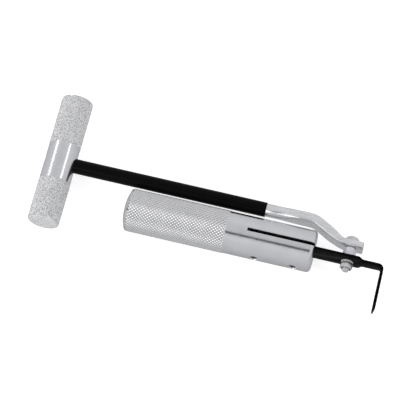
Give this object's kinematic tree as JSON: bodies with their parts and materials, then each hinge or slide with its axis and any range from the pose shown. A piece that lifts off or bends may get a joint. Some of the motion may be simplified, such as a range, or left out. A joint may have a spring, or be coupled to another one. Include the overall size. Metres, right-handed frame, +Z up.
{
  "type": "windscreen removal knife",
  "caption": "Pull knife with a knurled slotted grip, an L-shaped blade and a swinging pull bar with a tee handle.",
  "frame": {"origin": "bottom centre of the bounding box, on the surface that the tool lies on", "axes": "+X along the grip from the tee handle towards the blade, +Y from the grip towards the pull bar, +Z up"},
  "size_m": [0.248, 0.106, 0.03],
  "materials": {
    "aluminium": "turned and diamond knurled, clear satin",
    "screw_steel": "plain grey set-screw steel",
    "blade_steel": "black oxide with a ground cutting edge",
    "zinc_plated_steel": "bright zinc plated",
    "plated_rod": "forged flat and nickel plated",
    "black_sleeve": "smooth satin-gloss sleeve"
  },
  "bodies": {
    "grip": {"grip_body": "aluminium"},
    "clamp_screw_front": {"clamp_screw_front": "screw_steel"},
    "clamp_screw_rear": {"clamp_screw_rear": "screw_steel"},
    "blade": {"blade": "blade_steel", "pivot_bolt": "zinc_plated_steel", "pivot_spacer": "zinc_plated_steel", "lock_washer": "zinc_plated_steel", "pivot_nut": "zinc_plated_steel"},
    "pull_bar": {"pull_rod": "plated_rod", "rod_sleeve": "black_sleeve", "tee_grip": "aluminium", "tee_screw": "zinc_plated_steel"}
  },
  "joints": [
    {"name": "blade_slide", "type": "slide", "parent": "grip", "child": "blade", "axis": [1, 0, 0], "range_m": [0, 0.03]},
    {"name": "pull_bar_swing", "type": "hinge", "parent": "blade", "child": "pull_bar", "pos_m": [0.09807, -0.0082, 0.015], "axis": [0, 1, 0], "continuous": true},
    {"name": "clamp_screw_front_turn", "type": "hinge", "parent": "grip", "child": "clamp_screw_front", "pos_m": [0.06212, -0.029, 0.015], "axis": [0, 1, 0], "range_deg": [-720, 0]},
    {"name": "clamp_screw_rear_turn", "type": "hinge", "parent": "grip", "child": "clamp_screw_rear", "pos_m": [0.03482, -0.029, 0.015], "axis": [0, 1, 0], "range_deg": [-720, 0]}
  ]
}
